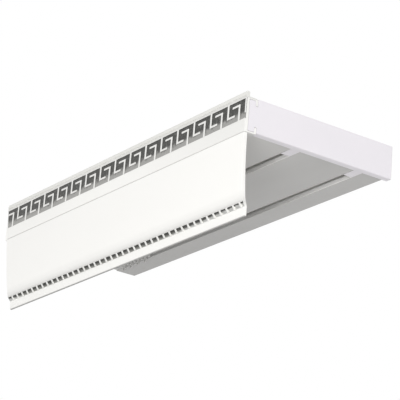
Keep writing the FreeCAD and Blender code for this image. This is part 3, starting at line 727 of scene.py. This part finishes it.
def merged_copy(node):
    """A copy of a node's mesh with its loose triangles welded and its flat faces made whole."""
    drawing = bmesh.new()
    drawing.from_mesh(frame["nodes"][node].data)
    bmesh.ops.remove_doubles(drawing, verts=drawing.verts, dist=WELD * MM)
    bmesh.ops.dissolve_limit(
        drawing, angle_limit=FLAT_ANGLE, use_dissolve_boundaries=False,
        verts=drawing.verts, edges=drawing.edges,
    )
    return drawing


print("shape helpers ready")

# %% [markdown]
# ## The fascia
#
# The fascia is a thin extrusion about 70 mm tall. Its front is flat at the top, with a shallow bed
# for the ornament and a fine seam below it, then falls back in a gentle curve to a tight shoulder,
# a slope and a bottom lip; its back carries two hooks. The shape is the same all along, so it is
# drawn once as a profile and pulled out. A curve object could be extruded too, but a pen that
# extrudes a vertex for a line and spins it for an arc keeps the piece a mesh with real arcs.

# %% A pen for profiles
class Pen:
    """Draws a profile in the YZ plane of a bmesh at one place along X; sizes in millimetres."""

    def __init__(self, drawing, along, across, up):
        self.drawing = drawing
        self.along = along
        self.first = drawing.verts.new(Vector((along, across, up)) * MM)
        self.tip = self.first

    def line(self, across, up):
        step = bmesh.ops.extrude_vert_indiv(self.drawing, verts=[self.tip])
        self.tip = step["verts"][0]
        self.tip.co = Vector((self.along, across, up)) * MM

    def arc(self, across, up, radius, steps=6):
        """An arc to the given end. A positive radius has its centre to the left of the way."""
        start = Vector((self.tip.co.y, self.tip.co.z)) / MM
        end = Vector((across, up))
        chord = end - start
        left = Vector((-chord.y, chord.x)).normalized()
        half = chord.length / 2
        depth = math.sqrt(radius * radius - half * half)
        centre = (start + end) / 2 + left * math.copysign(depth, radius)
        turn = 2 * math.asin(half / abs(radius))
        bmesh.ops.spin(
            self.drawing, geom=[self.tip], cent=Vector((self.along, centre.x, centre.y)) * MM,
            axis=(1.0, 0.0, 0.0), dvec=(0.0, 0.0, 0.0), angle=math.copysign(turn, radius),
            steps=steps, use_merge=False, use_duplicate=False,
        )
        self.drawing.verts.ensure_lookup_table()
        self.tip = self.drawing.verts[-1]

    def close(self):
        self.drawing.edges.new((self.tip, self.first))


def pull_out(drawing, length):
    """Fill the drawn loops and pull them out along X; returns the corners of the left end."""
    drawn = list(drawing.verts)
    filled = bmesh.ops.triangle_fill(
        drawing, edges=drawing.edges, use_beauty=True, use_dissolve=True
    )
    faces = [item for item in filled["geom"] if isinstance(item, bmesh.types.BMFace)]
    pulled = bmesh.ops.extrude_face_region(drawing, geom=faces)
    moved = [item for item in pulled["geom"] if isinstance(item, bmesh.types.BMVert)]
    bmesh.ops.translate(drawing, verts=moved, vec=(length * MM, 0.0, 0.0))
    bmesh.ops.recalc_face_normals(drawing, faces=drawing.faces)
    return drawn


print("pen ready")

# %% [markdown]
# ### Its profile
#
# The heights and depths are the fascia's own measures, in millimetres. The end of the gentle
# curve is worked out from its radius, so that the flat part runs into it without a kink. The wall
# follows the front at an even thickness, apart from the bottom lip, which is thinner. The left
# end was sawn at a slant, so its corners are pushed in along X the lower they lie. A Boolean with
# a wedge would cut the same slant, but it would leave long thin triangles behind.

# %% The fascia's sizes
panel_low, panel_high = (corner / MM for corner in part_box("fascia_panel"))
lip_low, lip_high = (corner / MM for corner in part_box("fascia_top_lip"))
track_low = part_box("track_profile")[0] / MM
FRONT = panel_low.y
WALL = 2.2
BACK = FRONT + WALL
TOP = lip_high.z
BOTTOM = panel_low.z
BEND_DROP = 26.0
BEND_START = TOP - BEND_DROP
BEND_RADIUS = 341.1
BEND_STEPS = 10
LIP_HEIGHT = 5.6
SLOPE_HEIGHT = 2.5
SLOPE_RECESS = 1.8
SHOULDER_HEIGHT = 3.0
SHOULDER_RECESS = 0.6
SHOULDER_RADIUS = 15.4
SHOULDER_LIFT = 0.4
LIP_WALL = 1.3
LIP_ROUNDING = 0.7
ROUNDING_STEPS = 5
BAND_RECESS = 0.5
SEAM_DROP = 23.7
SEAM_WIDTH = 0.5
SEAM_DEPTH = 0.3
HOOK_WALL = 1.3
HOOK_GAP = 0.2
HOOK_TIP_FRONT = -48.4
HOOK_TIP_BACK = panel_high.y
HOOK_DEPTH = 3.0
END_SLANT = 10.0
FASCIA_SOFTENING = 0.12
slope_end = BOTTOM + LIP_HEIGHT
shoulder_end = slope_end + SLOPE_HEIGHT
bend_end = shoulder_end + SHOULDER_HEIGHT
bend_reach = math.sqrt(BEND_RADIUS ** 2 - (BEND_START - bend_end) ** 2)
bend_front = FRONT + BEND_RADIUS - bend_reach
shoulder_front = bend_front + SHOULDER_RECESS
lip_front = shoulder_front + SLOPE_RECESS
print("the gentle curve falls back, mm:", round(bend_front - FRONT, 2))

# %% Lines of the fascia
def draw_front(pen):
    """From the ceiling down the front, past the ornament's bed and the seam, to the lip's foot."""
    band_top = band_high.z / MM
    band_bottom = band_low.z / MM
    seam_top = TOP - SEAM_DROP
    seam_bottom = seam_top - SEAM_WIDTH
    pen.line(FRONT, band_top)
    pen.line(FRONT + BAND_RECESS, band_top)
    pen.line(FRONT + BAND_RECESS, band_bottom)
    pen.line(FRONT, band_bottom)
    pen.line(FRONT, seam_top)
    pen.line(FRONT + SEAM_DEPTH, seam_top)
    pen.line(FRONT + SEAM_DEPTH, seam_bottom)
    pen.line(FRONT, seam_bottom)
    pen.line(FRONT, BEND_START)
    pen.arc(bend_front, bend_end, BEND_RADIUS, BEND_STEPS)
    pen.arc(shoulder_front, shoulder_end, SHOULDER_RADIUS)
    pen.line(lip_front, slope_end)
    pen.line(lip_front, BOTTOM + LIP_ROUNDING)
    pen.arc(lip_front + LIP_ROUNDING, BOTTOM, LIP_ROUNDING, ROUNDING_STEPS)


def draw_back(pen):
    """From the lip's foot up the back to the lower hook."""
    pen.line(lip_front + LIP_WALL, BOTTOM)
    pen.line(lip_front + LIP_WALL, slope_end)
    pen.line(shoulder_front + WALL, shoulder_end + SHOULDER_LIFT)
    pen.arc(bend_front + WALL, bend_end, WALL - SHOULDER_RADIUS)
    pen.arc(BACK, BEND_START, WALL - BEND_RADIUS, BEND_STEPS)


def draw_lower_hook(pen):
    """Out under the clip rail, up behind it, and down and back to the wall."""
    rail_bottom = track_low.z
    arm_bottom = rail_bottom - HOOK_GAP - HOOK_WALL
    arm_top = arm_bottom + HOOK_WALL
    tip = rail_bottom + HOOK_DEPTH - HOOK_GAP
    pen.line(BACK, arm_bottom)
    pen.line(HOOK_TIP_BACK - HOOK_WALL, arm_bottom)
    pen.arc(HOOK_TIP_BACK, arm_top, HOOK_WALL)
    pen.line(HOOK_TIP_BACK, tip)
    pen.line(HOOK_TIP_FRONT, tip)
    pen.line(HOOK_TIP_FRONT, arm_top)
    pen.line(BACK, arm_top)


def draw_upper_hook(pen):
    """Up the wall, out over the clip rail, down behind it, and up again to the ceiling."""
    arm_bottom = -HOOK_WALL
    tip = arm_bottom - HOOK_DEPTH
    pen.line(BACK, arm_bottom)
    pen.line(HOOK_TIP_FRONT, arm_bottom)
    pen.line(HOOK_TIP_FRONT, tip)
    pen.line(HOOK_TIP_BACK, tip)
    pen.line(HOOK_TIP_BACK, arm_bottom)
    pen.arc(HOOK_TIP_BACK - HOOK_WALL, 0.0, HOOK_WALL)


print("lines of the fascia ready")

# %% The fascia as a solid
def make_fascia():
    drawing = bmesh.new()
    pen = Pen(drawing, panel_low.x, FRONT, 0.0)
    draw_front(pen)
    draw_back(pen)
    draw_lower_hook(pen)
    draw_upper_hook(pen)
    pen.close()
    left_end = pull_out(drawing, panel_high.x - panel_low.x)
    for corner in left_end:
        corner.co.x += END_SLANT * corner.co.z / BOTTOM
    return finish_piece(drawing, "fascia_shell", "fascia_panel", FASCIA_SOFTENING)


fascia = make_fascia()
print("fascia faces:", len(fascia.data.polygons))

# %% [markdown]
# ### The soft lip on top
#
# A softer plastic is extruded onto the fascia's top edge. It closes the gap to the ceiling, and a
# fine line in it shows where the two plastics meet. Its top is rounded by an arc on either side.
# A Bevel modifier could round it, but the pen's arcs keep their radius whatever the wall is.

# %% The soft lip
LIP_ARC = 0.72
LIP_WELD = 0.001
LINE_DROP = 2.4
LINE_SIZE = 0.3
SOFT_LIP_SOFTENING = 0.08


def make_soft_lip():
    drawing = bmesh.new()
    shoulder = lip_high.z - LIP_ARC
    line_top = lip_high.z - LINE_DROP
    line_bottom = line_top - LINE_SIZE
    pen = Pen(drawing, lip_low.x, FRONT, shoulder)
    pen.line(FRONT, line_top)
    pen.line(FRONT + LINE_SIZE, line_top)
    pen.line(FRONT + LINE_SIZE, line_bottom)
    pen.line(FRONT, line_bottom)
    pen.line(FRONT, lip_low.z)
    pen.line(BACK, lip_low.z)
    pen.line(BACK, shoulder)
    pen.arc(BACK - LIP_ARC, lip_high.z, LIP_ARC, ROUNDING_STEPS)
    pen.line(FRONT + LIP_ARC, lip_high.z)
    pen.arc(FRONT, shoulder, LIP_ARC, ROUNDING_STEPS)
    bmesh.ops.remove_doubles(drawing, verts=drawing.verts, dist=LIP_WELD * MM)
    pull_out(drawing, lip_high.x - lip_low.x)
    return finish_piece(drawing, "soft_top_lip", "fascia_top_lip", SOFT_LIP_SOFTENING)


soft_lip = make_soft_lip()
print("soft lip faces:", len(soft_lip.data.polygons))

# %% [markdown]
# ## The winding line and the dentils
#
# The white strokes stand a third of a millimetre off the foil, pressed up by the stamp, and their
# edges are soft. They could be drawn again with the pen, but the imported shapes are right, so each
# is copied, welded and given a soft corner as wide as the strokes can take.

# %% Strokes and dentils
STROKE_SOFTENING = 0.16
STROKE_SEGMENTS = 3


def make_strokes():
    made = []
    for node in ("meander_upper_keys", "meander_lower_keys", "dentil_teeth"):
        drawing = merged_copy(node)
        stroke = finish_piece(drawing, f"soft_{node}", node, STROKE_SOFTENING, STROKE_SEGMENTS)
        made.append(stroke)
    return made


strokes = make_strokes()
print("stroke faces:", [len(piece.data.polygons) for piece in strokes])

# %% [markdown]
# ## The track, the cap and the stops
#
# These are exact fits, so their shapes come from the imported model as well. What the eye misses
# there is the roundness of every corner: a die can't hold a sharp one. The copies get it from the
# same modifier, with a width that suits each wall.

# %% Track, cap and stops
TRACK_SOFTENING = 0.2
CAP_SOFTENING = 0.14
STOP_SOFTENING = 0.25
SIDES = ("front", "rear")


def make_fitted_pieces():
    track = merged_copy("track_profile")
    cap = merged_copy("end_cap")
    made = [
        finish_piece(track, "extruded_track", "track_profile", TRACK_SOFTENING),
        finish_piece(cap, "moulded_cap", "end_cap", CAP_SOFTENING),
    ]
    for side in SIDES:
        stop = f"{side}_stop"
        made.append(finish_piece(merged_copy(stop), f"{side}_stop_block", stop, STOP_SOFTENING))
    return made


fitted = make_fitted_pieces()
print("fitted faces:", [len(piece.data.polygons) for piece in fitted])

# %% [markdown]
# ## Runners and rings
#
# A runner is one small moulding, a flat head over the lips and a neck between them, so its packed
# shape only needs its corners rounded. Its ring is turned and bent: a pin with a head inside the
# runner and a loop below. Both are drawn by spinning, the pin's outline about its own upright axis
# and the wire's circle about the middle of the loop, which keeps them rounder than the packed
# mesh. The outline has its edges taken off already, so a ring gets no bevel.

# %% A ring
PIN_RADIUS = 1.2
PIN_HEAD_RADIUS = 2.1
PIN_HEAD_HEIGHT = 0.8
PIN_LENGTH = 7.0
PIN_STEPS = 32
LOOP_RADIUS = 1.5
LOOP_DROP = 8.0
LOOP_STEPS = 36
WIRE_RADIUS = 0.5
WIRE_SIDES = 14
EDGE = 0.2
RING_WELD = 0.0005


def spin_pin(drawing, centre):
    """The headed pin of a ring; the centre is the middle of its head's upper face."""
    head_bottom = -PIN_HEAD_HEIGHT
    outline = (
        (0.0, 0.0), (PIN_HEAD_RADIUS - EDGE, 0.0), (PIN_HEAD_RADIUS, -EDGE),
        (PIN_HEAD_RADIUS, head_bottom + EDGE), (PIN_HEAD_RADIUS - EDGE, head_bottom),
        (PIN_RADIUS, head_bottom), (PIN_RADIUS, EDGE - PIN_LENGTH),
        (PIN_RADIUS - EDGE, -PIN_LENGTH), (0.0, -PIN_LENGTH),
    )
    corners = [drawing.verts.new(centre + Vector((out, 0.0, up)) * MM) for out, up in outline]
    sides = [drawing.edges.new(pair) for pair in zip(corners, corners[1:])]
    bmesh.ops.spin(
        drawing, geom=corners + sides, cent=centre, axis=(0.0, 0.0, 1.0), dvec=(0.0, 0.0, 0.0),
        angle=math.tau, steps=PIN_STEPS, use_merge=True, use_duplicate=False,
    )


def spin_loop(drawing, centre):
    """The loop of a ring, a round wire bent about the Y axis."""
    place = Matrix.Translation(centre + Vector((LOOP_RADIUS * MM, 0.0, 0.0)))
    wire = bmesh.ops.create_circle(
        drawing, segments=WIRE_SIDES, radius=WIRE_RADIUS * MM, matrix=place
    )
    sides = {edge for corner in wire["verts"] for edge in corner.link_edges}
    bmesh.ops.spin(
        drawing, geom=wire["verts"] + list(sides), cent=centre, axis=(0.0, 1.0, 0.0),
        dvec=(0.0, 0.0, 0.0), angle=math.tau, steps=LOOP_STEPS, use_merge=True,
        use_duplicate=False,
    )


def make_ring(node):
    low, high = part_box(node)
    top = Vector(((low.x + high.x) / 2, (low.y + high.y) / 2, high.z))
    drawing = bmesh.new()
    spin_pin(drawing, top)
    spin_loop(drawing, top - Vector((0.0, 0.0, LOOP_DROP * MM)))
    bmesh.ops.remove_doubles(drawing, verts=drawing.verts, dist=RING_WELD * MM)
    return finish_piece(drawing, f"turned_{node}", node)


print("ring's loop, mm across:", 2 * (LOOP_RADIUS + WIRE_RADIUS))

# %% Runners with their rings
RUNNER_SOFTENING = 0.25


def make_runners():
    made = []
    for node in sorted(frame["nodes"]):
        if "_runner_" in node:
            drawing = merged_copy(node)
            made.append(finish_piece(drawing, f"moulded_{node}", node, RUNNER_SOFTENING))
        elif "_ring_" in node:
            made.append(make_ring(node))
    return made


runners = make_runners()
print("runners and rings:", len(runners), "faces of a ring:", len(runners[0].data.polygons))

# %% [markdown]
# ## The clamping screws
#
# A small grub screw holds each stop. Its shape is packed, driver slot and all, so the lesson here
# is only the bevel: a turned screw has a broad chamfer on its ends and hardly any in its slot, and
# one width for both is kept below half of the slot's.

# %% Clamping screws
SCREW_SOFTENING = 0.12
SCREW_SEGMENTS = 3


def make_screws():
    made = []
    for side in SIDES:
        node = f"{side}_stop_screw"
        drawing = merged_copy(node)
        screw = finish_piece(
            drawing, f"{side}_grub_screw", node, SCREW_SOFTENING, SCREW_SEGMENTS
        )
        made.append(screw)
    return made


screws = make_screws()
print("screw faces:", [len(piece.data.polygons) for piece in screws])
